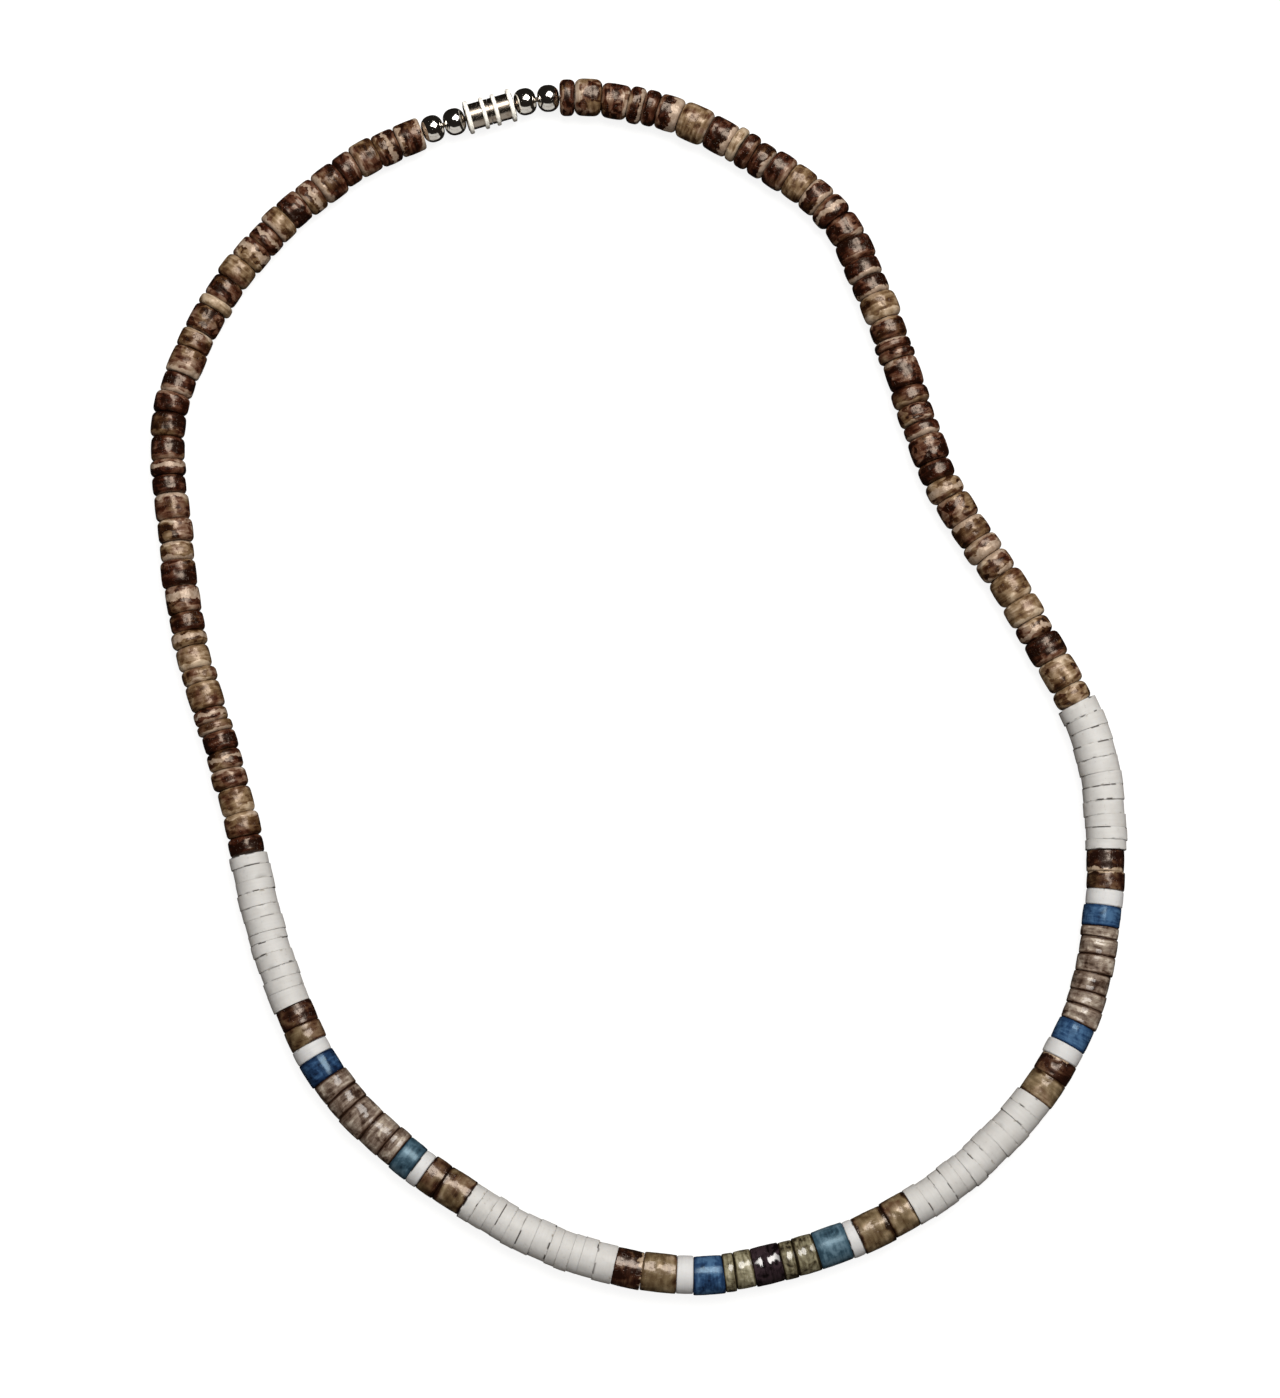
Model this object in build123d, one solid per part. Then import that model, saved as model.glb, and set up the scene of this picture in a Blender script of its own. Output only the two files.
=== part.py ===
from build123d import *
from collections import namedtuple
from math import radians, sin, tan
import os

# A bead necklace of coconut discs, white shell discs and coloured shell discs on one
# thread, fastened at a barrel clasp and lying flat on a surface at z = 0. Lengths are in
# millimetres. Seen from above, +Y points to the clasp's end and +X to the right.

# The thread, and the room round it
thread_dia = 0.7
thread_play = 0.55  # radial room of the thread in a drilled disc
ball_play = 0.2  # radial room of the thread in a metal ball and in the clasp's ends
bow_room = 0.08  # the part of thread_play kept for the thread's own bend in a disc
piece_gap = 0.12  # the least space between two neighbours
sideways = 0.1  # how far a disc may sit off the thread's line, to either side

# Coconut discs
coconut_right_dia = 5.2
coconut_left_dia = 4.85
coconut_thickness = 2.5  # of the commonest cut
coconut_edge = 0.4  # rounding of a disc's two rims
coconut_uneven = 0.03  # share by which the hand-cut diameters differ

# White shell discs, strung in four runs
white_upper_dia = 5.65
white_front_dia = 5.25
white_lower_dia = 5.3
white_thickness = 1.5
white_edge = 0.22
white_uneven = 0.02

# The coloured discs at the front
front_dia = 5.2
front_thickness = 2.5
front_edge = 0.2
front_uneven = 0.012
edge_limit = 0.35  # the most of a disc's or ring's thickness that one rounding takes

# Metal balls beside the clasp, a little flattened
ball_dia = 3.75
ball_length = 3.05  # along the thread
ball_rounding = 0.45  # share of its length that the rounding at each end takes

# The clasp: two barrels screwed together, each round a knot at an end of the thread
knot_dia = 1.7
knot_play = 0.15
spigot_wall = 0.3
spigot_play = 0.1
spigot_length = 1.2
barrel_wall = 0.42
barrel_end_wall = 0.6
chamber_length = 2.9  # from the seam to a barrel's end wall
ring_width = 0.55
ring_from_seam = 0.85  # to the middle of the ring
ring_stand = 0.42  # how far the ring stands out of the barrel
rim_width = 0.6
rim_from_end = 0.4
rim_stand = 0.5
ring_rounding = 0.12

# The thread's route: the corners of its straight runs, clockwise from the clasp, which
# lies on the run from the last corner to the first. The loop is drawn in or let out a
# little as a whole, so that the strung pieces just fill it.
route = [
    (-14.5, 85.0), (-4.5, 85.0), (7.0, 82.0), (18.0, 75.5), (27.5, 68.5), (33.5, 54.5),
    (41.5, 29.0), (50.5, 16.0), (62.5, -6.0), (63.5, -23.5), (60.5, -41.5), (53.5, -54.0),
    (42.0, -65.5), (27.5, -73.5), (7.0, -78.5), (-12.5, -74.0), (-31.0, -62.5),
    (-42.5, -51.5), (-50.0, -34.5), (-55.5, -11.0), (-62.0, 8.0), (-66.0, 39.5),
    (-59.0, 56.0), (-50.0, 67.5), (-38.5, 76.5), (-29.5, 80.5),
]
clasp_share = 0.565  # the clasp's place on its run, from the last corner
arc_share = 0.45  # the share of the shorter run that a corner's arc takes
fit_within = 0.001  # how near the loop comes to the length of what is strung on it

# The cuts of disc, as shares of a stock's thickness
cuts = {"a": 0.52, "b": 0.76, "c": 1.0, "d": 1.2, "e": 1.4, "f": 1.6}
dia_beat = 2.4  # two uneven steps, which make each disc's stray width and place its own
aside_beat = 1.7

# The coloured panels, in the loop's order: the kind of disc, its share of front_thickness
right_panel = [
    ("brown", 1.1), ("brown", 0.9), ("white", 0.8), ("blue", 1.05), ("smoky", 0.55),
    ("smoky", 0.9), ("smoky", 0.9), ("smoky", 0.95), ("smoky", 0.7), ("smoky", 0.85),
    ("blue", 1.2), ("white", 0.75), ("brown", 1.0), ("brown", 1.3),
]
centre_panel = [
    ("brown", 1.4), ("brown", 1.65), ("white", 0.5), ("blue", 1.65), ("smoky", 1.1),
    ("smoky", 0.7), ("violet", 1.45), ("smoky", 0.9), ("smoky", 0.5), ("blue", 1.5),
    ("white", 0.75), ("brown", 1.7), ("brown", 1.4),
]
left_panel = [
    ("brown", 1.55), ("brown", 0.95), ("white", 0.55), ("blue", 1.05), ("smoky", 0.75),
    ("smoky", 1.15), ("smoky", 1.3), ("smoky", 0.85), ("smoky", 0.95), ("blue", 1.2),
    ("white", 0.65), ("brown", 1.0), ("brown", 1.1),
]

thread_radius = thread_dia / 2
disc_bore = thread_radius + thread_play
narrow_bore = thread_radius + ball_play
slack = thread_play - piece_gap - bow_room  # how far a disc may lie above or below
spigot_bore = knot_dia / 2 + knot_play
spigot_radius = spigot_bore + spigot_wall
socket_bore = spigot_radius + spigot_play
barrel_radius = socket_bore + barrel_wall
barrel_length = chamber_length + barrel_end_wall
knot_from_seam = chamber_length - knot_play - knot_dia / 2

Stock = namedtuple("Stock", "dia thickness edge uneven")
Bead = namedtuple("Bead", "node radius thickness edge bore")

coconut_right = Stock(coconut_right_dia, coconut_thickness, coconut_edge, coconut_uneven)
coconut_left = Stock(coconut_left_dia, coconut_thickness, coconut_edge, coconut_uneven)
white_upper = Stock(white_upper_dia, white_thickness, white_edge, white_uneven)
white_front = Stock(white_front_dia, white_thickness, white_edge, white_uneven)
white_lower = Stock(white_lower_dia, white_thickness, white_edge, white_uneven)
front = Stock(front_dia, front_thickness, front_edge, front_uneven)


def stray(number, beat):
    # between -1 and 1, different for each disc and the same every time
    return sin(number * beat)


def cut_disc(node, stock, share, number):
    thickness = stock.thickness * share
    radius = stock.dia / 2 * (1 + stock.uneven * stray(number, dia_beat))
    edge = min(stock.edge, edge_limit * thickness)
    return Bead(node, radius, thickness, edge, disc_bore)


def charted(node, stock, chart):
    # a string of discs in one node, from a chart with a letter for each disc's cut
    letters = chart.replace(" ", "")
    return [cut_disc(node, stock, cuts[letter], i) for i, letter in enumerate(letters)]


def panel(side, rows):
    # discs that are nodes of their own, numbered within each kind
    beads = []
    for i, (kind, share) in enumerate(rows):
        number = sum(row[0] == kind for row in rows[: i + 1])
        beads.append(cut_disc(f"{side}_{kind}_{number}", front, share, i))
    return beads


def balls(*nodes):
    edge = ball_rounding * ball_length
    return [Bead(node, ball_dia / 2, ball_length, edge, narrow_bore) for node in nodes]


strand = (
    balls("ball_right_inner", "ball_right_outer")
    + charted("coconut_right", coconut_right, "beebbdfe abcddccd dccedaaf ccbecced cdfdcefc")
    + charted("white_right_upper", white_upper, "dcddd cddccb")
    + panel("right", right_panel)
    + charted("white_right_front", white_front, "dddddc cbccdd")
    + panel("centre", centre_panel)
    + charted("white_left_front", white_front, "fdbcbe dccbdc")
    + panel("left", left_panel)
    + charted("white_left_lower", white_lower, "eccdcb dcdcdc")
    + charted("coconut_left", coconut_left, "cdecccab ebdbceec decbddcc eceadddc cdcecdde")
    + balls("ball_left_outer", "ball_left_inner")
)

largest_radius = max(bead.radius for bead in strand)
rim_radius = barrel_radius + max(ring_stand, rim_stand)
thread_height = max(largest_radius - slack, rim_radius)


def arc_radius(before, corner, after):
    arriving = corner - before
    leaving = after - corner
    half_turn = radians(arriving.get_angle(leaving)) / 2
    return arc_share * min(arriving.length, leaving.length) / tan(half_turn)


def thread_line(scale):
    # from the knot in the plug, round the loop, to the knot in the socket
    corners = [Vector(x * scale, y * scale, thread_height) for x, y in route]
    ahead = (corners[0] - corners[-1]).normalized()
    seam = corners[-1] + (corners[0] - corners[-1]) * clasp_share
    stations = [seam, *corners, seam]
    radii = [arc_radius(*three) for three in zip(stations, stations[1:], stations[2:])]
    start = seam + ahead * knot_from_seam
    end = seam - ahead * knot_from_seam
    return FilletPolyline(start, *corners, end, radius=radii), seam, ahead, min(radii)


def flat_reach(bead):
    # how far from the thread a bead's flat faces go
    return bead.radius - bead.edge


def turn_between(line, here, there):
    first = line.tangent_at(here, PositionMode.LENGTH)
    second = line.tangent_at(there, PositionMode.LENGTH)
    return radians(first.get_angle(second))


def set_out(line):
    # each bead's distance along the line, and the length that the whole strand takes
    face = barrel_length - knot_from_seam
    before = strand[0]
    places = []
    for bead in strand:
        centre = close = face + piece_gap + bead.thickness / 2
        if places:  # in a bend two neighbours lean, and need a little more room
            arm = min(flat_reach(before), flat_reach(bead)) + sideways
            centre += arm * turn_between(line, places[-1], centre)
            centre = close + arm * turn_between(line, places[-1], centre)
        places.append(centre)
        face = centre + bead.thickness / 2
        before = bead
    return places, face + piece_gap + barrel_length - knot_from_seam


def fitted_line():
    # drawn in or let out until what is strung on it fills it
    scale = 1
    while True:
        line, seam, ahead, tightest = thread_line(scale)
        places, strung_length = set_out(line)
        if abs(strung_length - line.length) < fit_within:
            return line, seam, ahead, tightest, places, strung_length
        scale *= strung_length / line.length


def make_bead(bead, number, line, distance):
    spot = line.position_at(distance, PositionMode.LENGTH)
    along = line.tangent_at(distance, PositionMode.LENGTH)
    if bead.bore == disc_bore:  # loose enough to lie down, and a little to one side
        spot += along.cross(Vector(0, 0, 1)) * sideways * stray(number, aside_beat)
        spot.Z = max(bead.radius, thread_height - slack)
    body = Cylinder(bead.radius, bead.thickness)
    body = fillet(body.edges().filter_by(GeomType.CIRCLE), bead.edge)
    body -= Cylinder(bead.bore, 2 * bead.thickness)
    return Plane(origin=spot, x_dir=(0, 0, 1), z_dir=along).location * body


def make_thread(line):
    thread = sweep(Plane(origin=line @ 0, z_dir=line % 0) * Circle(thread_radius), path=line)
    for end in (0, 1):
        knot = Plane(origin=line @ end, z_dir=line % end).location * Sphere(knot_dia / 2)
        thread += knot
    return thread


def raised_ring(radius, width, middle):
    ring = Cylinder(radius, width)
    rounding = min(ring_rounding, edge_limit * width)
    return Pos(0, 0, middle) * fillet(ring.edges().filter_by(GeomType.CIRCLE), rounding)


def make_barrel():
    # one half of the clasp, solid, with its seam near z = 0 and its end upwards
    seam_face = piece_gap / 2
    upright = (Align.CENTER, Align.CENTER, Align.MIN)
    barrel = Cylinder(barrel_radius, barrel_length - seam_face, align=upright)
    barrel = Pos(0, 0, seam_face) * barrel
    barrel += raised_ring(barrel_radius + ring_stand, ring_width, ring_from_seam)
    rim_middle = barrel_length - rim_from_end
    barrel += raised_ring(barrel_radius + rim_stand, rim_width, rim_middle)
    return barrel - Cylinder(narrow_bore, 3 * barrel_length)


def make_socket():
    chamber = Cylinder(socket_bore, 2 * chamber_length)
    return make_barrel() - chamber


def make_plug():
    upright = (Align.CENTER, Align.CENTER, Align.MIN)
    spigot_whole = spigot_length + piece_gap
    spigot = Cylinder(spigot_radius, spigot_whole, align=upright)
    plug = make_barrel() + Pos(0, 0, -spigot_length) * spigot
    return plug - Cylinder(spigot_bore, 2 * chamber_length)


line, seam, ahead, tightest, places, strung_length = fitted_line()
pieces = {}
for number, (bead, distance) in enumerate(zip(strand, places)):
    pieces.setdefault(bead.node, []).append(make_bead(bead, number, line, distance))
pieces["thread"] = [make_thread(line)]
pieces["clasp_plug"] = [Plane(origin=seam, z_dir=ahead).location * make_plug()]
pieces["clasp_socket"] = [Plane(origin=seam, z_dir=-ahead).location * make_socket()]

everything = Compound([solid for group in pieces.values() for solid in group])
box = everything.bounding_box(optimal=False)
to_middle = Pos(-box.center().X, -box.center().Y, 0)

os.makedirs("parts", exist_ok=True)
for node, group in pieces.items():
    whole = group[0] if len(group) == 1 else Compound(group)
    export_step(to_middle * whole, f"parts/{node}.step")

loop_length = line.length + 2 * knot_from_seam
print("pieces", len(strand), "nodes", len(pieces), "loop", round(loop_length, 2))
print("strung", round(strung_length, 3), "thread", round(line.length, 3))
print("tightest arc of the thread", round(tightest, 1), "box", box.size)
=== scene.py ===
import math

import bmesh
import bpy
from mathutils import Matrix, Vector, noise


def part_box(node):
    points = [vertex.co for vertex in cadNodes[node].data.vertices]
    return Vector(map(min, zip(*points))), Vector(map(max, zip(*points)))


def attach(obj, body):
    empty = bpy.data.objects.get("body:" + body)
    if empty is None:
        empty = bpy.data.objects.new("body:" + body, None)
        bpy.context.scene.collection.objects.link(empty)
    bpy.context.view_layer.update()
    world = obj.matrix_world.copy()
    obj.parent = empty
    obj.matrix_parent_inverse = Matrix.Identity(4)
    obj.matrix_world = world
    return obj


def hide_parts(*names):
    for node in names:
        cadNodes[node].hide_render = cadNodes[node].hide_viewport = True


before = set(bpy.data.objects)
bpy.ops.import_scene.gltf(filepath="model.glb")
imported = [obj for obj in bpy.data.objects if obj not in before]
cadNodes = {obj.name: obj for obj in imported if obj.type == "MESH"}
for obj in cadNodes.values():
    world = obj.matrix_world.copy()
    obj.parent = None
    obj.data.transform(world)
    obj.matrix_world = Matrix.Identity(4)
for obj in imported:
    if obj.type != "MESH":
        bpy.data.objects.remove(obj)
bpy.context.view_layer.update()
mm = 0.001
up = Vector((0, 0, 1))
print("frame loaded,", len(cadNodes), "nodes")


# camera: a long lens held nearly overhead, tipped a little towards the front of the loop
camera = {
    "target": (0.861 * mm, -3.517 * mm, 2.53 * mm),
    "distance": 445.2 * mm,
    "elevation": 82,
    "lens": 84,
    "sensor": 36,
    "nearest": 0.01, "farthest": 10,
}


def placeCamera():
    data = bpy.data.cameras.new("necklaceCamera")
    data.lens = camera["lens"]
    data.sensor_width = camera["sensor"]
    data.clip_start, data.clip_end = camera["nearest"], camera["farthest"]
    view = bpy.data.objects.new("necklaceCamera", data)
    bpy.context.scene.collection.objects.link(view)
    tilt = math.radians(camera["elevation"])
    back = Vector((0, -math.cos(tilt), math.sin(tilt)))
    view.location = Vector(camera["target"]) + back * camera["distance"]
    view.rotation_euler = (math.radians(90) - tilt, 0, 0)
    bpy.context.scene.camera = view


placeCamera()
print("camera placed")


# shapes: an outline is turned about an axis, its rings are rounded off, and it becomes a piece
samePlace = 0.0001 * mm  # corners this close count as one


def turnOutline(outline, around, axis=(1, 0, 0), closed=True):
    work = bmesh.new()
    corners = [work.verts.new(corner) for corner in outline]
    steps = range(0 if closed else 1, len(corners))
    sides = [work.edges.new((corners[step - 1], corners[step])) for step in steps]
    bmesh.ops.spin(
        work, geom=corners + sides, cent=(0, 0, 0), axis=axis, dvec=(0, 0, 0),
        angle=2 * math.pi, steps=around, use_merge=True,
    )
    return work


def onRing(corner, along, out):
    x, y, z = corner.co
    return abs(x - along) < samePlace and abs(math.hypot(y, z) - out) < samePlace


def roundRings(work, rings, rounding, steps):
    edges = [
        edge for edge in work.edges
        if any(all(onRing(end, along, out) for end in edge.verts) for along, out in rings)
    ]
    bmesh.ops.bevel(
        work, geom=edges, offset=rounding, offset_type="OFFSET", segments=steps, profile=0.5,
        affect="EDGES", clamp_overlap=True, material=-1,
    )


def alongStrand(centre, axis):
    place = Matrix((axis, up.cross(axis), up)).transposed().to_4x4()
    place.translation = centre
    return place


def makePiece(work, name):
    mesh = bpy.data.meshes.new(name)
    work.to_mesh(mesh)
    work.free()
    mesh.shade_smooth()
    piece = bpy.data.objects.new(name, mesh)
    bpy.context.scene.collection.objects.link(piece)
    return piece


# nodes: each helper adds one node to a material, mostly to give back what comes out of it
def freshMaterial(name):
    material = bpy.data.materials.new(name)
    material.use_nodes = True
    tree = material.node_tree
    return material, tree, tree.nodes["Principled BSDF"]


def feed(tree, node, values):
    for name, value in values.items():
        socket = node.inputs[name]
        if isinstance(value, bpy.types.NodeSocket):
            tree.links.new(value, socket)
        elif socket.type == "RGBA":
            socket.default_value = (*value, 1)
        else:
            socket.default_value = value


def put(tree, kind, values, **settings):
    node = tree.nodes.new("ShaderNode" + kind)
    for name, value in settings.items():
        setattr(node, name, value)
    feed(tree, node, values)
    return node


def calc(tree, operation, *values, clamp=False):
    node = put(tree, "Math", dict(enumerate(values)), operation=operation, use_clamp=clamp)
    return node.outputs[0]


def plus(tree, value, change, share=1.0, clamp=False):
    return calc(tree, "MULTIPLY_ADD", change, share, value, clamp=clamp)


def less(tree, value, taken):
    return calc(tree, "SUBTRACT", value, taken)


def times(tree, first, second):
    return calc(tree, "MULTIPLY", first, second)


def size(tree, value):
    return calc(tree, "ABSOLUTE", value)


def ramp(tree, value, stops):
    node = put(tree, "ValToRGB", {0: value})
    marks = node.color_ramp.elements
    while len(marks) < len(stops):
        marks.new(0.5)
    for mark, (place, colour) in zip(marks, stops):
        mark.position = place
        mark.color = (*colour, 1)
    return node.outputs[0]


def speckle(tree, vector, scale, detail=2.0, roughness=0.5, distortion=0.0, stretch=None):
    if stretch:
        vector = put(tree, "VectorMath", {0: vector, 1: stretch}, operation="MULTIPLY").outputs[0]
    values = {"Vector": vector, "Scale": scale, "Detail": detail, "Roughness": roughness}
    return put(tree, "TexNoise", {**values, "Distortion": distortion}).outputs["Fac"]


def between(tree, value, low, high, toLow=0.0, toHigh=1.0, how="SMOOTHSTEP"):
    values = {"Value": value, "From Min": low, "From Max": high, "To Min": toLow, "To Max": toHigh}
    return put(tree, "MapRange", values, interpolation_type=how).outputs[0]


def blend(tree, share, first, second):
    return put(tree, "Mix", {0: share, 6: first, 7: second}, data_type="RGBA").outputs[2]


def relief(tree, shader, height, depth):
    bump = put(tree, "Bump", {"Strength": 1.0, "Distance": depth * mm, "Height": height}).outputs[0]
    feed(tree, shader, {"Normal": bump, "Coat Normal": bump})


def discPoint(tree):
    return put(tree, "Attribute", {}, attribute_name="discPoint").outputs["Vector"]


def discValue(tree, name):
    return put(tree, "Attribute", {}, attribute_name=name).outputs["Fac"]


# studio: white paper that curves up all round, a soft window beyond the clasp's end, a wide
# sheet overhead, and a low card in front that only the metal mirrors
studio = {
    "sky": (1.0, 0.86, 0.74),
    "skyStrength": 0.12, "skyMirrored": 0.015,
    "lights": {  # place, width, height, watts, tint
        "window": ((0.12, 0.25, 0.52), 0.42, 0.42, 3.1, (1.0, 0.97, 0.93)),
        "topSheet": ((0.0, 0.02, 0.66), 0.9, 0.9, 2.05, (0.97, 0.99, 1.0)),
        "frontCard": ((0.0, -0.5, -0.08), 1.1, 0.8, 1.6, (1.0, 0.98, 0.94)),
    },
}
paper = {
    "flat": 0.9, "wall": 1.3, "rise": 1.0, "under": 0.02 * mm, "curveSteps": 10, "around": 64,
    "finish": {
        "Base Color": (0.3, 0.3, 0.295), "Roughness": 0.9, "Specular IOR Level": 0.0,
        "Emission Color": (1, 1, 1), "Emission Strength": 0.84,
    },
}


def lightStudio():
    world = bpy.data.worlds.new("studioWorld")
    world.use_nodes = True
    tree = world.node_tree
    mirrored = put(tree, "LightPath", {}).outputs["Is Glossy Ray"]
    strength = between(tree, mirrored, 0, 1, studio["skyStrength"], studio["skyMirrored"], "LINEAR")
    feed(tree, tree.nodes["Background"], {"Color": studio["sky"], "Strength": strength})
    bpy.context.scene.world = world
    for name, (place, width, height, power, colour) in studio["lights"].items():
        data = bpy.data.lights.new(name, "AREA")
        data.shape = "RECTANGLE"
        data.size, data.size_y = width, height
        data.energy = power
        data.color = colour
        lamp = bpy.data.objects.new(name, data)
        lamp.location = place
        lamp.rotation_euler = Vector(place).to_track_quat("Z", "Y").to_euler()
        lamp.visible_camera = False
        lamp.visible_diffuse = name != "frontCard"
        lamp.visible_glossy = name != "topSheet"
        bpy.context.scene.collection.objects.link(lamp)
    bpy.context.scene.view_settings.view_transform = "Standard"


def layPaper():
    flat, bend, steps = paper["flat"], paper["wall"] - paper["flat"], paper["curveSteps"]
    curve = [math.pi / 2 * step / steps for step in range(1, steps + 1)]
    outline = [(0, 0), (flat, 0)]
    outline += [(flat + bend * math.sin(turn), bend * (1 - math.cos(turn))) for turn in curve]
    outline.append((paper["wall"], paper["rise"]))
    outline = [(out, 0, height - paper["under"]) for out, height in outline]
    work = turnOutline(outline, paper["around"], axis=(0, 0, 1), closed=False)
    bmesh.ops.remove_doubles(work, verts=work.verts, dist=samePlace)
    work.normal_update()
    if sum(face.normal.z for face in work.faces) < 0:
        bmesh.ops.reverse_faces(work, faces=work.faces)
    sheet = makePiece(work, "paper")
    material, tree, shader = freshMaterial("paperWhite")
    feed(tree, shader, paper["finish"])
    sheet.data.materials.append(material)
    sheet.visible_diffuse = sheet.visible_glossy = False  # the discs stay dark at their undersides


lightStudio()
layPaper()
print("studio lit")


# reading the discs: where each one lies in the frame, which way its hole runs, and its size
reading = {
    "weld": 0.0005 * mm,
    "upright": 0.02,  # the most that the normal of a disc's end rises or falls
}
coconutStrings = ["coconut_right", "coconut_left"]
whiteStrings = ["white_right_upper", "white_right_front", "white_left_front", "white_left_lower"]
panels = [name for name in cadNodes if name.split("_")[0] in ("right", "centre", "left")]
balls = ["ball_right_inner", "ball_right_outer", "ball_left_outer", "ball_left_inner"]


def islandsOf(work):
    seen = set()
    for first in work.verts:
        if first in seen:
            continue
        seen.add(first)
        island = [first]
        for corner in island:  # the list grows while it is walked
            for side in corner.link_edges:
                other = side.other_vert(corner)
                if other not in seen:
                    seen.add(other)
                    island.append(other)
        yield island


def measureDisc(node, island):
    faces = list(dict.fromkeys(face for corner in island for face in corner.link_faces))
    area = sum(face.calc_area() for face in faces)
    anchor = island[0].co  # places are summed up from here, which loses fewer digits
    offsets = [(face.calc_center_median() - anchor) * face.calc_area() for face in faces]
    centre = anchor + sum(offsets, Vector()) / area
    double = Vector((0, 0))  # with their turns doubled, a disc's two ends point the same way
    for face in faces:
        if abs(face.normal.z) < reading["upright"]:
            turn = 2 * math.atan2(face.normal.y, face.normal.x)
            double += face.calc_area() * Vector((math.cos(turn), math.sin(turn)))
    turn = math.atan2(double.y, double.x) / 2
    axis = Vector((math.cos(turn), math.sin(turn), 0))
    along = [(corner.co - centre).dot(axis) for corner in island]
    radius = max((corner.co - centre - axis * step).length for corner, step in zip(island, along))
    thickness = max(along) - min(along)
    return {"node": node, "centre": centre, "axis": axis, "thickness": thickness, "radius": radius}


def readDiscs(node):
    work = bmesh.new()
    work.from_mesh(cadNodes[node].data)
    bmesh.ops.remove_doubles(work, verts=work.verts, dist=reading["weld"])
    found = [measureDisc(node, island) for island in islandsOf(work)]
    work.free()
    return found


def orderDiscs():
    # from the clasp's plug on, clockwise as seen from above
    names = coconutStrings + whiteStrings + panels + balls
    found = [disc for name in names for disc in readDiscs(name)]
    low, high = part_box("clasp_plug")
    start = (low + high) / 2
    startTurn = math.atan2(start.y, start.x)

    def turnFromClasp(disc):
        return (startTurn - math.atan2(disc["centre"].y, disc["centre"].x)) % (2 * math.pi)

    found.sort(key=turnFromClasp)
    for number, disc in enumerate(found):
        before, after = found[number - 1], found[(number + 1) % len(found)]
        if disc["axis"].dot(after["centre"] - before["centre"]) < 0:
            disc["axis"] = -disc["axis"]
        disc["number"] = number
    return found


discs = orderDiscs()
print("discs read:", len(discs))


def discsOf(node):
    return [disc for disc in discs if disc["node"] == node]


# chance: a number from 0 to 1 that is always the same for one disc and one use
uses = {"shiftX": 1, "shiftY": 2, "rim": 3, "shiftZ": 4, "seed": 5, "own": 6, "roll": 9, "lean": 12}


def chance(number, use):
    return (math.sin(number * 12.9898 + uses[use] * 78.233) * 43758.5453) % 1


# discs: what all the kinds share, in mm where it is a length
strung = {
    "bore": 0.95, "nearBore": 1.02,  # nothing this near the bore is worn, in bores
    "rimMost": 0.6,  # the most of half a disc's thickness that a rim may round off
    "rimRoom": 1.04,  # how far the next ring of corners keeps off, in rims
    "jointLean": 0.07,  # radians between the furthest leans to either side
    "trim": 0.08, "grow": 0.3,  # the most that a face moves in or out to meet its joint
    "even": 0.0,  # how much a disc takes on its string's mean radius
    "wearFrom": 0.45, "wearOver": 0.4,  # the part of the radius over which the wear sets in
    "chip": 0.0, "chipFrom": 0.3,
    "patternShift": (17.3, 11.9, 23.1),  # the most that a disc's pattern is moved, so that no two match
}


def endOf(disc, way):
    return disc["centre"] + disc["axis"] * (way * disc["thickness"] / 2)


def planJoints():
    # joints: the plane that two neighbours' faces are trimmed to, so that they close up in the
    # bends as strung discs do
    for number, (disc, after) in enumerate(zip(discs, discs[1:])):
        middle = (endOf(disc, 1) + endOf(after, -1)) / 2
        lean = Matrix.Rotation(strung["jointLean"] * (chance(number, "lean") - 0.5), 3, "Z")
        disc["ahead"] = after["behind"] = (middle, lean @ (disc["axis"] + after["axis"]).normalized())
    discs[0]["behind"] = (endOf(discs[0], -1), discs[0]["axis"])
    discs[-1]["ahead"] = (endOf(discs[-1], 1), discs[-1]["axis"])
    for disc in discs:
        radii = [other["radius"] for other in discsOf(disc["node"])]
        disc["mean"] = sum(radii) / len(radii)


planJoints()


def discOutline(half, radius, rim, style):
    bore = style["bore"] * mm
    flat = half - style["rimRoom"] * rim
    face = [bore, (bore + radius - rim) / 2, radius - style["rimRoom"] * rim, radius]
    steps = max(2, round(2 * flat / mm * style["stepsPerMm"]))
    outline = [(-half, bore)] + [(half, out) for out in face]
    outline += [(flat * (1 - 2 * step / steps), radius) for step in range(steps + 1)]
    outline += [(-half, out) for out in reversed(face[1:])]
    return [(along, out, 0) for along, out in outline]


def wearDisc(work, number, half, radius, style):
    # the rims are sunk, chipped and rounded off, less and less towards the bore
    seed = Vector((3.1 * number, 7.7 * chance(number, "seed"), 1.3))
    for corner in work.verts:
        along, y, z = corner.co
        out = math.hypot(y, z)
        if out < style["nearBore"] * style["bore"] * mm:
            continue
        near = min(1, max(0, (out / radius - style["wearFrom"]) / style["wearOver"]))
        spot = Vector((y / out, z / out, along / radius))
        wide = 0.5 + 0.5 * noise.noise(spot * style["wearWide"] + seed)
        fine = 0.5 + 0.5 * noise.noise(spot * style["wearFine"] + seed * 2)
        nick = noise.noise(Vector((2 * y / out, 2 * z / out, math.copysign(3, along))) + seed * 3)
        cut = style["wear"] * wide + style["wearSmall"] * fine + style["belly"] * (along / half) ** 2
        cut += style["chip"] * max(0, nick - style["chipFrom"]) * (along / half) ** 6
        kept = 1 - near * cut * mm / out
        corner.co = (along, y * kept, z * kept)


def closeJoints(work, disc, stand, half, style):
    # each face moves to its joint's plane, and the side between them stretches with it
    for corner in work.verts:
        along, y, z = corner.co
        middle, lean = disc["ahead" if along > 0 else "behind"]
        spot = stand @ Vector((0, y, z))
        reach = abs((middle - spot).dot(lean) / disc["axis"].dot(lean)) - style["keep"] * mm
        reach = min(half + style["grow"] * mm, max(half - style["trim"] * mm, reach))
        corner.co.x = along / half * reach


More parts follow.
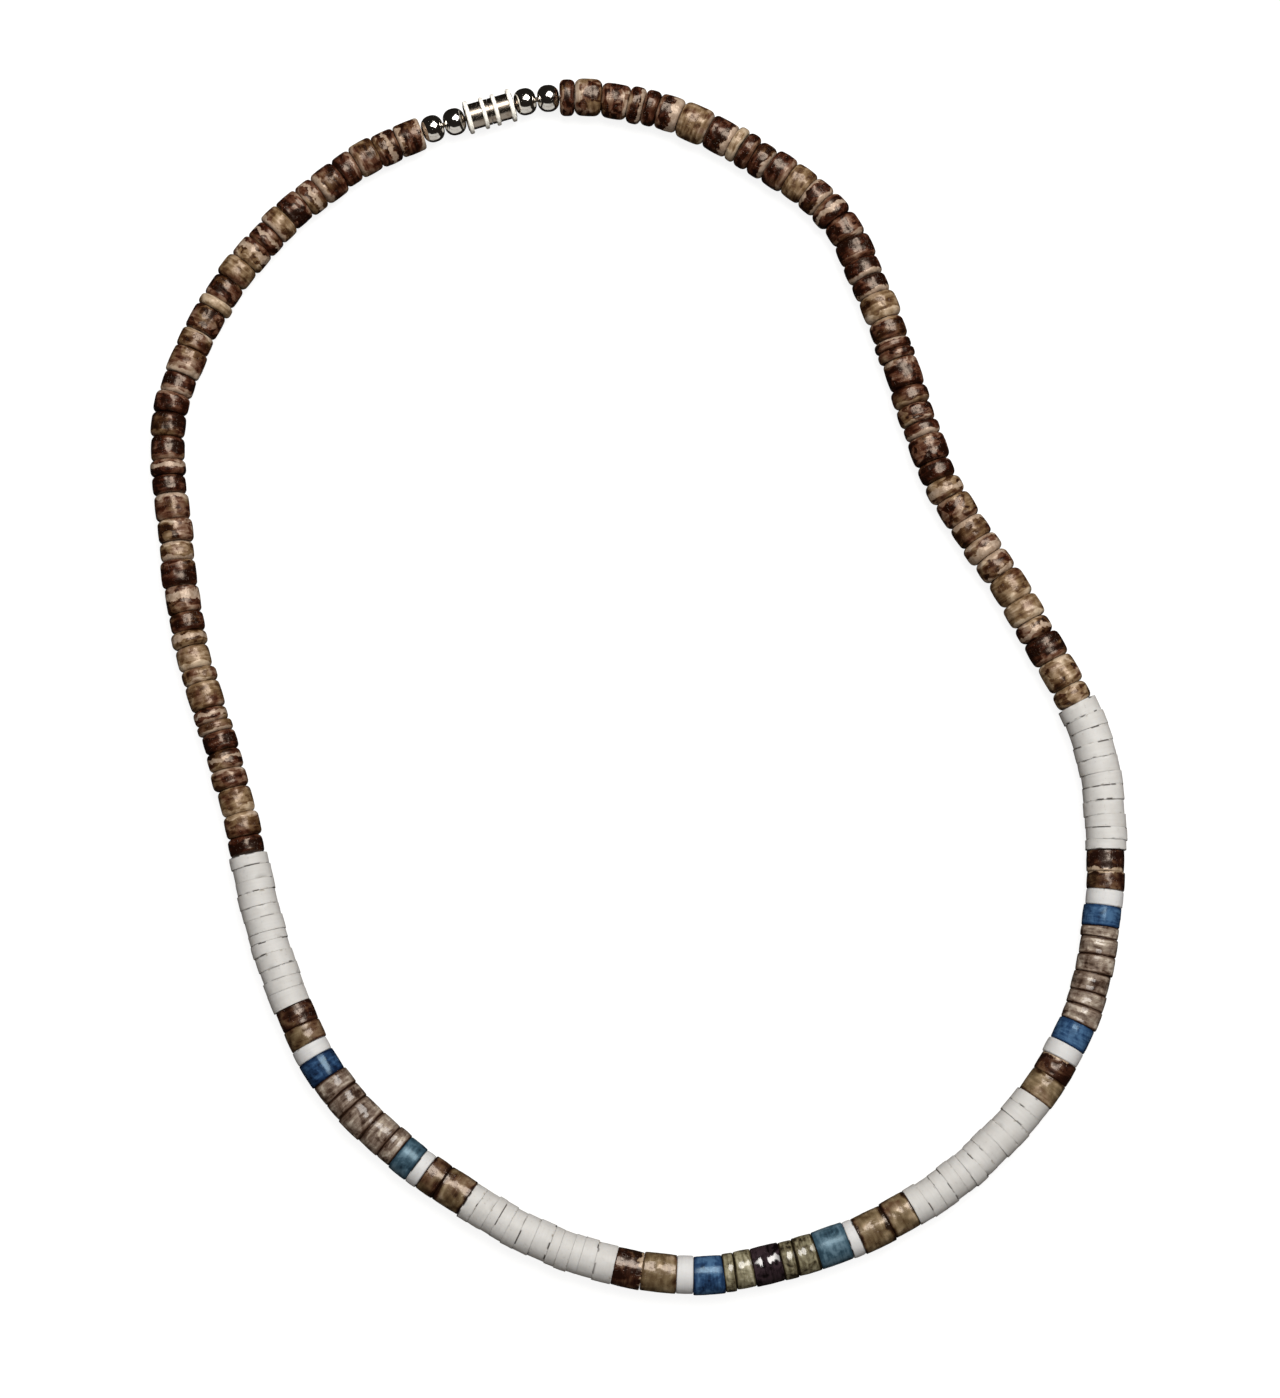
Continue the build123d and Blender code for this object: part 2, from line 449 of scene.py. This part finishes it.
def store(piece, name, values):
    vectors = isinstance(values[0], Vector)
    layer = piece.data.attributes.new(name, "FLOAT_VECTOR" if vectors else "FLOAT", "POINT")
    if vectors:
        layer.data.foreach_set("vector", [number for value in values for number in value])
    else:
        layer.data.foreach_set("value", values)


def turnDisc(disc, style):
    # an outline turned about its hole, its rims rounded, worn a little and rolled on the thread
    number = disc["number"]
    half = disc["thickness"] / 2
    radius = disc["radius"] + style["even"] * (disc["mean"] - disc["radius"])
    rim = style["rim"] * mm * (1 + style["rimStray"] * (2 * chance(number, "rim") - 1))
    rim = min(rim, style["rimMost"] * half)
    work = turnOutline(discOutline(half, radius, rim, style), style["around"])
    roundRings(work, [(half, radius), (-half, radius)], rim, style["rimSteps"])
    bmesh.ops.recalc_face_normals(work, faces=work.faces)
    wearDisc(work, number, half, radius, style)
    worn = [corner.co.copy() for corner in work.verts]
    roll = Matrix.Rotation(2 * math.pi * chance(number, "roll"), 4, "X")
    bmesh.ops.transform(work, matrix=roll, verts=work.verts)
    stand = alongStrand(disc["centre"], disc["axis"])
    closeJoints(work, disc, stand, half, style)
    bmesh.ops.transform(work, matrix=stand, verts=work.verts)
    piece = makePiece(work, "disc")
    draws = [chance(number, use) for use in ("shiftX", "shiftY", "shiftZ")]
    shift = Vector([most * draw for most, draw in zip(style["patternShift"], draws)])
    store(piece, "discPoint", [corner / mm + shift for corner in worn])
    store(piece, "discAlong", [corner.x / half for corner in worn])
    store(piece, "discOwn", [disc.get("own", chance(number, "own"))] * len(worn))
    return piece


def wear(piece, material):
    piece.data.materials.append(material)


def hang(piece, node, material):
    wear(piece, material)
    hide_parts(node)
    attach(piece, "root")


def joinDiscs(name, parts):
    bpy.ops.object.select_all(action="DESELECT")
    for part in parts:
        part.select_set(True)
    bpy.context.view_layer.objects.active = parts[0]
    bpy.ops.object.join()
    parts[0].name = parts[0].data.name = name
    return parts[0]


# coconut discs, charted two letters each: ground tone, and where a paler layer runs
noLayer = -3.0  # a half width that no place is within
coconut = {
    "style": {
        **strung, "rim": 0.66, "rimStray": 0.3, "rimSteps": 5, "around": 44, "stepsPerMm": 3.0,
        "keep": 0.015,  # how far each face stays off its joint
        "belly": 0.14,  # how much thinner a disc is at its ends
        "wear": 0.05, "wearSmall": 0.04, "wearWide": 1.3, "wearFine": 4.0,
    },
    "ownStyle": {"coconut_right": {}, "coconut_left": {"rim": 0.5, "belly": 0.08}},
    "coconut_right": (
        "dx bx gx dr d. dR y. dr l. d. dr d. y. gs dm dx d. dr dr yq "
        "g. dl gx dx g. ox dr dx k. yh bx bl bR bs y. t. oh k. yx yx"
    ),
    "coconut_left": (
        "k. b. y. bq gm k. bl om y. yq t. yh g. oh d. ys bx br d. dh "
        "d. d. d. dl bl b. gx l. dx y. oh dm yl dx gm gl d. b. dm gs"
    ),
    "tones": {
        "k": 0.01, "d": 0.09, "g": 0.2, "o": 0.26, "x": 0.27,
        "b": 0.35, "y": 0.49, "w": 0.56, "t": 0.64, "l": 0.84,
    },
    "layers": {  # place along the disc, half width, 1 if at both ends, how blotched the ground is
        "f": (0, noLayer, 0, 0.2), ".": (0, noLayer, 0, 0.5),
        "q": (0, noLayer, 0, 0.7), "x": (0, noLayer, 0, 1.3),
        "n": (-1, 0.16, 0, 0.5), "l": (-1, 0.42, 0, 0.7), "m": (0.1, 0.2, 0, 0.7),
        "h": (0.2, 0.28, 0, 1.1), "p": (1, 0.3, 0, 0.7), "r": (1, 0.4, 0, 0.7),
        "R": (1, 0.9, 0, 0.6), "s": (1, 0.36, 1, 0.8),
    },
    "grain": {  # scale, detail, roughness, distortion and, on some, stretch
        "drift": (0.45, 2, 0.5, 0.3), "ragged": (1.5, 3, 0.6, 0.4), "warmth": (0.3,),
        "lumps": (0.85, 0, 0.5, 0.3, (1.2, 1.0, 1.0)),
        "rings": (1.0, 3, 0.6, 0.3, (2.3, 0.3, 0.3)),
        "blotch": (0.62, 2, 0.5, 0.8, (1.3, 0.8, 0.8)),
        "flecks": (1.0, 2, 0.5, 0.0, (2.2, 5.5, 5.5)),
    },
    "look": {
        "gloss": 0.2, "coat": 0.05, "fibres": 0.05, "streak": 1.0, "lumpy": 0.24, "worn": 0.37,
        "olive": [
            (0.0, (0.012, 0.003, 0.001)), (0.2, (0.04, 0.013, 0.004)), (0.4, (0.108, 0.053, 0.022)),
            (0.6, (0.22, 0.137, 0.068)), (0.8, (0.38, 0.265, 0.163)), (1.0, (0.57, 0.445, 0.31)),
        ],
        "rose": [
            (0.0, (0.014, 0.003, 0.001)), (0.2, (0.052, 0.012, 0.005)), (0.4, (0.135, 0.056, 0.03)),
            (0.6, (0.25, 0.152, 0.1)), (0.8, (0.4, 0.29, 0.21)), (1.0, (0.58, 0.46, 0.36)),
        ],
    },
}


def shellGround(name, look):
    material, tree, shader = freshMaterial(name)
    point, grain = discPoint(tree), coconut["grain"]
    along, own, tone = [discValue(tree, part) for part in ("discAlong", "discOwn", "discTone")]
    drift = less(tree, speckle(tree, point, *grain["drift"]), 0.5)
    ragged = less(tree, speckle(tree, point, *grain["ragged"]), 0.5)
    lumps = less(tree, speckle(tree, point, *grain["lumps"]), 0.5)
    rings = speckle(tree, point, *grain["rings"])

    # the paler layer, with a wavy border
    wavy = plus(tree, plus(tree, along, drift, 1.3), ragged, 0.8)
    side = plus(tree, wavy, less(tree, size(tree, wavy), wavy), discValue(tree, "layerBoth"))
    reach = size(tree, less(tree, side, discValue(tree, "layerPlace")))
    paleLayer = between(tree, less(tree, reach, discValue(tree, "layerWidth")), 0.05, -0.05)

    # the ground: tone, blotches, rings of growth, fibres and lumps
    blotch = between(tree, speckle(tree, point, *grain["blotch"]), 0.46, 0.54)
    blotch = less(tree, blotch, 0.45)
    level = plus(tree, tone, blotch, times(tree, discValue(tree, "discMottle"), 0.3))
    level = plus(tree, level, less(tree, rings, 0.5), look["streak"])
    flecks = between(tree, speckle(tree, point, *grain["flecks"]), 0.6, 0.7)
    level = plus(tree, level, flecks, -look["fibres"])
    level = plus(tree, level, lumps, 0.7)

    # ends: dark ones where charted, and one worn pale on some discs
    nearEnd = between(tree, plus(tree, size(tree, along), drift, 0.7), 0.7, 0.92)
    level = less(tree, level, times(tree, discValue(tree, "discEnds"), nearEnd))
    ownSide = less(tree, own, 0.5)
    paleSide = times(tree, along, calc(tree, "SIGN", ownSide))
    wornRim = between(tree, plus(tree, paleSide, drift, 1.3), 0.52, 0.62, 0.0, look["worn"])
    level = plus(tree, level, wornRim, between(tree, size(tree, ownSide), 0.1, 0.22, 0.1, 1.0))

    paleLevel = plus(tree, 0.84, ragged, 0.6)
    level = plus(tree, level, less(tree, paleLevel, level), paleLayer, clamp=True)
    warmth = plus(tree, speckle(tree, point, *grain["warmth"]), less(tree, 0.4, tone), 0.45)
    warmth = calc(tree, "MAXIMUM", between(tree, warmth, 0.46, 0.62), times(tree, paleLayer, 0.8))
    olive, rose = ramp(tree, level, look["olive"]), ramp(tree, level, look["rose"])
    feed(tree, shader, {
        "Base Color": blend(tree, warmth, olive, rose),
        "Roughness": between(tree, ragged, -0.3, 0.3, look["gloss"], look["gloss"] + 0.14),
        "Specular IOR Level": 0.95, "Specular Tint": (1.0, 0.82, 0.68),
        "Coat Weight": look["coat"], "Coat Roughness": 0.15,
    })
    height = plus(tree, plus(tree, lumps, rings, 0.15), flecks, -0.1)
    relief(tree, shader, height, look["lumpy"])
    return material


def markDisc(piece, tone, layer, ends=0.0):
    names = ("discTone", "discEnds", "layerPlace", "layerWidth", "layerBoth", "discMottle")
    for name, value in zip(names, (tone, ends, *layer)):
        store(piece, name, [value] * len(piece.data.vertices))


def stringCoconut(node):
    style = {**coconut["style"], **coconut["ownStyle"][node]}
    parts = []
    for disc, word in zip(discsOf(node), coconut[node].split(), strict=True):
        part = turnDisc(disc, style)
        markDisc(part, coconut["tones"][word[0]], coconut["layers"][word[1]])
        parts.append(part)
    hang(joinDiscs(node + "_discs", parts), node, coconutFinish)
    print(node, len(parts), "discs")


coconutFinish = shellGround("coconutShell", coconut["look"])
for node in coconutStrings:
    stringCoconut(node)


# white shell discs: matte, faintly ringed, with a few warm stains and pits, and painted shade where the
# discs meet
white = {
    "style": {
        **strung, "rim": 0.045, "rimStray": 0.5, "rimSteps": 2, "around": 52, "stepsPerMm": 3.4,
        "keep": 0.004, "belly": 0.0, "even": 0.75, "chip": 0.9,
        "wear": 0.03, "wearSmall": 0.05, "wearWide": 1.6, "wearFine": 5.0,
    },
    "run": [
        (0.0, (0.42, 0.4, 0.37)), (0.35, (0.6, 0.59, 0.57)),
        (0.65, (0.66, 0.655, 0.64)), (1.0, (0.74, 0.735, 0.725)),
    ],
    "panel": [
        (0.0, (0.48, 0.48, 0.48)), (0.35, (0.64, 0.642, 0.642)),
        (0.65, (0.71, 0.715, 0.72)), (1.0, (0.77, 0.78, 0.79)),
    ],
    "grain": {
        "clouds": (0.35, 3, 0.55), "rings": (1.0, 3, 0.55, 0.0, (3.4, 0.35, 0.35)), "pits": (3.2,),
        "smudge": (0.75, 3, 0.6, 0.5), "gapShade": (0.5, 1, 0.5, 0.3),
    },
    "stain": (0.3, 0.26, 0.2),
    # painted shade: the near-black colour laid into the gaps at some joints
    "nick": (0.07, 0.06, 0.055),
    "glow": {
        "Subsurface Weight": 0.15, "Subsurface Radius": (0.6, 0.5, 0.4), "Subsurface Scale": 0.6 * mm,
    },
}


def whiteGround(name, ground):
    material, tree, shader = freshMaterial(name)
    point, grain = discPoint(tree), white["grain"]
    own = discValue(tree, "discOwn")
    fromMiddle = size(tree, discValue(tree, "discAlong"))
    clouds, rings = speckle(tree, point, *grain["clouds"]), speckle(tree, point, *grain["rings"])
    pits = between(tree, speckle(tree, point, *grain["pits"]), 0.66, 0.72)
    level = plus(tree, times(tree, clouds, 0.6), rings, 0.5)
    level = plus(tree, level, less(tree, own, 0.5), 0.15)
    level = plus(tree, level, pits, -0.2, clamp=True)
    # painted shade: darker towards each disc's ends, where the discs meet
    level = plus(tree, level, between(tree, fromMiddle, 0.8, 0.97), -0.1, clamp=True)
    smudge = between(tree, speckle(tree, point, *grain["smudge"]), 0.6, 0.72, 0.0, 0.8)
    stains = times(tree, smudge, between(tree, fromMiddle, 0.62, 0.95))
    # painted shade in the gaps at some joints, where the discs meet
    gapShade = between(tree, speckle(tree, point, *grain["gapShade"]), 0.56, 0.62)
    gapShade = times(tree, gapShade, between(tree, fromMiddle, 0.74, 0.93))  # dark gaps at some joints
    gapShade = times(tree, gapShade, between(tree, own, 0.35, 0.7))
    tone = blend(tree, stains, ramp(tree, level, ground), white["stain"])
    feed(tree, shader, {
        "Base Color": blend(tree, gapShade, tone, white["nick"]),
        "Roughness": between(tree, clouds, 0.3, 0.7, 0.42, 0.6),
        "Specular IOR Level": 0.35,
        **white["glow"],
    })
    relief(tree, shader, plus(tree, times(tree, rings, 0.5), pits, -0.6), 0.03)
    return material


def stringWhite(node):
    parts = [turnDisc(disc, white["style"]) for disc in discsOf(node)]
    hang(joinDiscs(node + "_discs", parts), node, whiteFinish)
    print(node, len(parts), "discs")


whiteFinish = whiteGround("whiteShell", white["run"])
for node in whiteStrings:
    stringWhite(node)


# the coloured panels: larger polished discs, one piece each
panel = {
    "style": {
        **strung, "rim": 0.16, "rimStray": 0.25, "rimSteps": 4, "around": 56, "stepsPerMm": 3.6,
        "keep": 0.01, "belly": 0.05,
        "wear": 0.03, "wearSmall": 0.04, "wearWide": 1.4, "wearFine": 4.5,
    },
    "brown": {  # ground tone, layer and how dark the ends are
        "right_brown_1": "kp0", "right_brown_2": "dn0", "right_brown_3": "dn0", "right_brown_4": "wf3",
        "centre_brown_1": "yf4", "centre_brown_2": "yf4", "centre_brown_3": "yf2", "centre_brown_4": "kn0",
        "left_brown_1": "bf3", "left_brown_2": "xf3", "left_brown_3": "b.1", "left_brown_4": "d.1",
    },
    "brownLift": 0.06, "darkStep": 0.14,
    "teal": ["centre_blue_1", "left_blue_1"],
    "own": {  # how light each disc is, from 0 to 9
        "right_smoky": "656556", "centre_smoky": "4374", "left_smoky": "46625",
        "right_blue": "56", "centre_blue": "55", "left_blue": "42",
    },
    "brownLook": {
        "gloss": 0.2, "coat": 0.5, "fibres": 0.02, "streak": 0.6, "lumpy": 0.14, "worn": 0.06,
        "olive": [
            (0.0, (0.014, 0.005, 0.002)), (0.2, (0.045, 0.02, 0.008)), (0.4, (0.12, 0.075, 0.035)),
            (0.62, (0.21, 0.15, 0.08)), (0.82, (0.38, 0.28, 0.17)), (1.0, (0.6, 0.48, 0.35)),
        ],
        "rose": [
            (0.0, (0.016, 0.004, 0.002)), (0.2, (0.05, 0.016, 0.008)), (0.4, (0.13, 0.068, 0.034)),
            (0.62, (0.22, 0.145, 0.085)), (0.82, (0.42, 0.31, 0.21)), (1.0, (0.6, 0.48, 0.37)),
        ],
    },
}
plainPolish = {
    "glow": 0.0, "ends": 0.0, "contrast": 0.8, "mirror": 1.8, "tint": (1, 1, 1),
    "ringGrain": (1.0, 3, 0.6, 0.0, (3.0, 0.4, 0.4)), "speckGrain": (3.6,),
    "cloudGrain": (4, 0.6, 0.6), "lumpGrain": (0, 0.5, 0.0, (1.0, 0.25, 0.25)),  # without the scale
}
polish = {  # scale is the clouds', pitch the lumps', and mirror the coat's index of refraction
    "blue": {
        **plainPolish, "roughness": 0.2, "coat": 0.12, "ends": 0.3, "tint": (0.5, 0.78, 1.0),
        "scale": 0.7, "pitch": 0.85, "lumpy": 0.02,
        "shades": [
            (0.2, (0.006, 0.014, 0.04)), (0.5, (0.022, 0.06, 0.145)), (0.8, (0.07, 0.155, 0.29)),
        ],
    },
    "teal": {
        **plainPolish, "roughness": 0.32, "coat": 0.06, "ends": 0.25, "tint": (0.6, 0.85, 1.0),
        "scale": 0.7, "pitch": 0.85, "lumpy": 0.03,
        "shades": [
            (0.2, (0.014, 0.033, 0.052)), (0.5, (0.044, 0.092, 0.13)), (0.8, (0.12, 0.2, 0.26)),
        ],
    },
    "smoky": {
        **plainPolish, "roughness": 0.5, "coat": 1.0, "mirror": 1.6, "ends": 0.58, "contrast": 1.2,
        "glow": 0.1, "scale": 0.62, "pitch": 1.2, "lumpy": 0.46,
        "shades": [
            (0.1, (0.035, 0.015, 0.008)), (0.33, (0.12, 0.078, 0.055)), (0.58, (0.24, 0.18, 0.14)),
            (0.8, (0.38, 0.31, 0.245)), (1.0, (0.6, 0.52, 0.43)),
        ],
    },
    "olive": {
        **plainPolish, "roughness": 0.45, "coat": 1.0, "mirror": 1.85, "ends": 0.6, "contrast": 1.1,
        "glow": 0.1, "scale": 0.8, "pitch": 1.0, "lumpy": 0.38,
        "shades": [
            (0.15, (0.02, 0.014, 0.006)), (0.36, (0.11, 0.09, 0.05)), (0.58, (0.22, 0.195, 0.12)),
            (0.8, (0.34, 0.31, 0.2)), (1.0, (0.52, 0.48, 0.35)),
        ],
    },
    "violet": {
        **plainPolish, "roughness": 0.22, "coat": 1.0, "mirror": 2.3,
        "scale": 0.8, "pitch": 1.35, "lumpy": 0.36,
        "shades": [
            (0.25, (0.002, 0.0006, 0.001)), (0.6, (0.004, 0.0015, 0.0025)), (0.9, (0.04, 0.024, 0.03)),
        ],
    },
}


def polished(name, look):
    material, tree, shader = freshMaterial(name)
    point = discPoint(tree)
    fromMiddle = size(tree, discValue(tree, "discAlong"))
    clouds = less(tree, speckle(tree, point, look["scale"], *look["cloudGrain"]), 0.5)
    rings = less(tree, speckle(tree, point, *look["ringGrain"]), 0.5)
    specks = between(tree, speckle(tree, point, *look["speckGrain"]), 0.64, 0.72)
    level = plus(tree, 0.58, clouds, 2 * look["contrast"])
    level = plus(tree, level, rings, look["contrast"])
    level = plus(tree, level, less(tree, discValue(tree, "discOwn"), 0.5), 0.6)
    darkEnd = between(tree, plus(tree, fromMiddle, clouds, 0.9), 0.72, 1.0)
    level = plus(tree, level, darkEnd, -look["ends"])
    level = plus(tree, level, specks, 0.12, clamp=True)
    sheen = between(tree, fromMiddle, 0.95, 0.45, 0.25, 1.0)  # the polish is worn off at the ends
    feed(tree, shader, {
        "Base Color": ramp(tree, level, look["shades"]),
        "Roughness": look["roughness"],
        "Specular IOR Level": times(tree, sheen, 0.9 - 0.7 * look["coat"]),
        "Specular Tint": look["tint"],
        "Coat Weight": times(tree, sheen, look["coat"]), "Coat IOR": look["mirror"], "Coat Roughness": 0.13,
        "Subsurface Weight": look["glow"], "Subsurface Radius": (1.0, 0.8, 0.6),
        "Subsurface Scale": 0.8 * mm,
    })
    relief(tree, shader, speckle(tree, point, look["pitch"], *look["lumpGrain"]), look["lumpy"])
    return material


finishes = {kind: polished(kind + "Shell", look) for kind, look in polish.items()}
finishes["brown"] = shellGround("brownShell", panel["brownLook"])
finishes["white"] = whiteGround("panelWhiteShell", white["panel"])


def panelFinish(node, side, kind):
    if node in panel["teal"]:
        return finishes["teal"]
    if kind == "smoky" and side == "centre":
        return finishes["olive"]
    return finishes[kind]


def dressPanels():
    for disc in [disc for disc in discs if disc["node"] in panels]:
        node = disc["node"]
        side, kind, number = node.split("_")
        charted = panel["own"].get(side + "_" + kind)
        if charted:
            disc["own"] = int(charted[int(number) - 1]) / 10
        piece = turnDisc(disc, panel["style"])
        if kind == "brown":
            tone, layer, ends = panel["brown"][node]
            tone = coconut["tones"][tone] + panel["brownLift"]
            markDisc(piece, tone, coconut["layers"][layer], panel["darkStep"] * int(ends))
        piece.name = piece.data.name = node + "_disc"
        hang(piece, node, panelFinish(node, side, kind))
    print("panels dressed,", len(panels), "discs")


dressPanels()


# metal: bored balls beside the clasp, and the clasp itself, its body darkened as painted shade and its
# rings paled as painted highlight
metal = {
    "ball": {"hole": 0.5, "lip": 0.2, "round": 0.45, "steps": 9, "around": 56},
    "clasp": {
        "around": 64, "body": 1.82, "seamGap": 0.05, "length": 3.5, "bore": 0.5,
        "chamber": 1.36, "chamberEnd": 2.9,
        "spigot": 1.28, "spigotBore": 0.95, "spigotLength": 1.2,
        "rings": [(0.85, 0.275, 2.24), (3.1, 0.3, 2.32)],  # middle, half width, radius
        "ringRound": 0.17, "ringSteps": 4, "endRound": 0.09, "endSteps": 3,
        "ringFrom": 0.03,  # how far past the body a ring's finish starts
        "sharpFrom": 50,  # degrees
    },
    "grain": {"clouds": (700, 3, 0.6), "scratches": (1.0, 2, 0.5, 0.0, (900, 5200, 900))},
    "finishes": {
        "ballMetal": {
            "tone": (0.9, 0.87, 0.82), "tarnish": (0.36, 0.29, 0.23),
            "smooth": 0.06, "dull": 0.16, "metallic": 1.0,
        },
        # painted highlight: the rings get a near-white, half-matte colour so that they read bright all
        # round
        "ringPaintedHighlight": {
            "tone": (0.98, 0.95, 0.87), "tarnish": (0.9, 0.87, 0.82),
            "smooth": 0.3, "dull": 0.42, "metallic": 0.3,
        },
        # painted shade: the body is given a darker colour than the balls' metal, with real tarnish blended
        # in
        "claspBodyShadeAndTarnish": {
            "tone": (0.44, 0.38, 0.32), "tarnish": (0.17, 0.1, 0.06),
            "smooth": 0.2, "dull": 0.28, "metallic": 1.0,
        },
    },
}


def metalGround(name):
    look, grain = metal["finishes"][name], metal["grain"]
    material, tree, shader = freshMaterial(name)
    spot = put(tree, "TexCoord", {}).outputs["Object"]
    clouds, scratches = speckle(tree, spot, *grain["clouds"]), speckle(tree, spot, *grain["scratches"])
    worn = plus(tree, times(tree, clouds, 0.7), scratches, 0.3)
    feed(tree, shader, {
        "Base Color": blend(tree, between(tree, worn, 0.46, 0.7, 0.0, 0.6), look["tone"], look["tarnish"]),
        "Metallic": look["metallic"],
        "Roughness": between(tree, clouds, 0.3, 0.8, look["smooth"], look["dull"]),
    })
    relief(tree, shader, scratches, 0.004)
    return material


def turnMetal(outline, around, rounded=()):
    work = turnOutline([(along, out, 0) for along, out in outline], around)
    for rings, rounding, steps in rounded:
        roundRings(work, rings, rounding * mm, steps)
    bmesh.ops.remove_doubles(work, verts=work.verts, dist=samePlace)
    bmesh.ops.recalc_face_normals(work, faces=work.faces)
    return work


def drillBall(disc):
    shape = metal["ball"]
    half, radius = disc["thickness"] / 2, disc["radius"]
    curve = 2 * half * shape["round"]
    turns = [math.pi / 2 * step / shape["steps"] for step in range(shape["steps"] + 1)]
    outline = [(half - shape["lip"] * mm, shape["hole"] * mm)]
    for turn in turns:
        outline.append((half - curve * (1 - math.cos(turn)), radius - curve * (1 - math.sin(turn))))
    outline += [(-along, out) for along, out in reversed(outline)]
    work = turnMetal(outline, shape["around"])
    bmesh.ops.transform(work, matrix=alongStrand(disc["centre"], disc["axis"]), verts=work.verts)
    piece = makePiece(work, disc["node"] + "_polished")
    hang(piece, disc["node"], ballFinish)
    return piece


def claspOutline(plug):
    shape = metal["clasp"]
    gap, length, body, end = shape["seamGap"], shape["length"], shape["body"], shape["chamberEnd"]
    outline = [(gap, body)]
    for middle, width, out in shape["rings"]:
        outline += [(middle - width, body), (middle - width, out)]
        outline += [(middle + width, out), (middle + width, body)]
    outline += [(length, body), (length, shape["bore"]), (end, shape["bore"])]
    if plug:
        outline += [(end, shape["spigotBore"]), (-shape["spigotLength"], shape["spigotBore"])]
        outline += [(-shape["spigotLength"], shape["spigot"]), (gap, shape["spigot"])]
    else:
        outline += [(end, shape["chamber"]), (gap, shape["chamber"])]
    return [(along * mm, out * mm) for along, out in outline]


def turnClasp(half, plug):
    shape = metal["clasp"]
    crests = [
        ((middle + way * width) * mm, out * mm)
        for middle, width, out in shape["rings"] for way in (-1, 1)
    ]
    end = [(shape["length"] * mm, shape["body"] * mm)]
    rounded = [
        (crests, shape["ringRound"], shape["ringSteps"]),
        (end, shape["endRound"], shape["endSteps"]),
    ]
    work = turnMetal(claspOutline(plug), shape["around"], rounded)
    ringsFrom = (shape["body"] + shape["ringFrom"]) * mm
    for face in work.faces:
        centre = face.calc_center_median()
        face.material_index = int(math.hypot(centre.y, centre.z) > ringsFrom)
    bmesh.ops.transform(work, matrix=alongStrand(half["seam"], half["axis"]), verts=work.verts)
    piece = makePiece(work, half["node"] + "_turned")
    hang(piece, half["node"], bodyShadeFinish)
    piece.data.materials.append(ringHighlightFinish)
    piece.data.set_sharp_from_angle(angle=math.radians(shape["sharpFrom"]))
    return piece


def claspHalves():
    plug, socket = readDiscs("clasp_plug")[0], readDiscs("clasp_socket")[0]
    ahead = plug["centre"] - socket["centre"]
    for half, way in ((plug, 1), (socket, -1)):
        if half["axis"].dot(ahead) * way < 0:
            half["axis"] = -half["axis"]
        axis = half["axis"]
        far = max(corner.co.dot(axis) for corner in cadNodes[half["node"]].data.vertices)
        seam = far - metal["clasp"]["length"] * mm
        half["seam"] = half["centre"] + axis * (seam - half["centre"].dot(axis))
    return [turnClasp(plug, True), turnClasp(socket, False)]


ballFinish = metalGround("ballMetal")
ringHighlightFinish = metalGround("ringPaintedHighlight")
bodyShadeFinish = metalGround("claspBodyShadeAndTarnish")
bright = [drillBall(disc) for disc in discs if disc["node"] in balls] + claspHalves()
mirrors = bpy.data.collections.new("mirrors")
for piece in bright:
    mirrors.objects.link(piece)
bpy.data.objects["frontCard"].light_linking.receiver_collection = mirrors


# thread: waxed, twisted, seen only where it passes between the balls
thread = {"shades": [(0.3, (0.1, 0.07, 0.05)), (0.7, (0.28, 0.22, 0.17))], "twist": 3000, "depth": 0.03}


def threadGround():
    material, tree, shader = freshMaterial("waxedThread")
    twist = speckle(tree, put(tree, "TexCoord", {}).outputs["Object"], thread["twist"])
    feed(tree, shader, {"Base Color": ramp(tree, twist, thread["shades"]), "Roughness": 0.6})
    relief(tree, shader, twist, thread["depth"])
    return material


cadNodes["thread"].data.materials.clear()
wear(cadNodes["thread"], threadGround())
print("metal and thread finished")
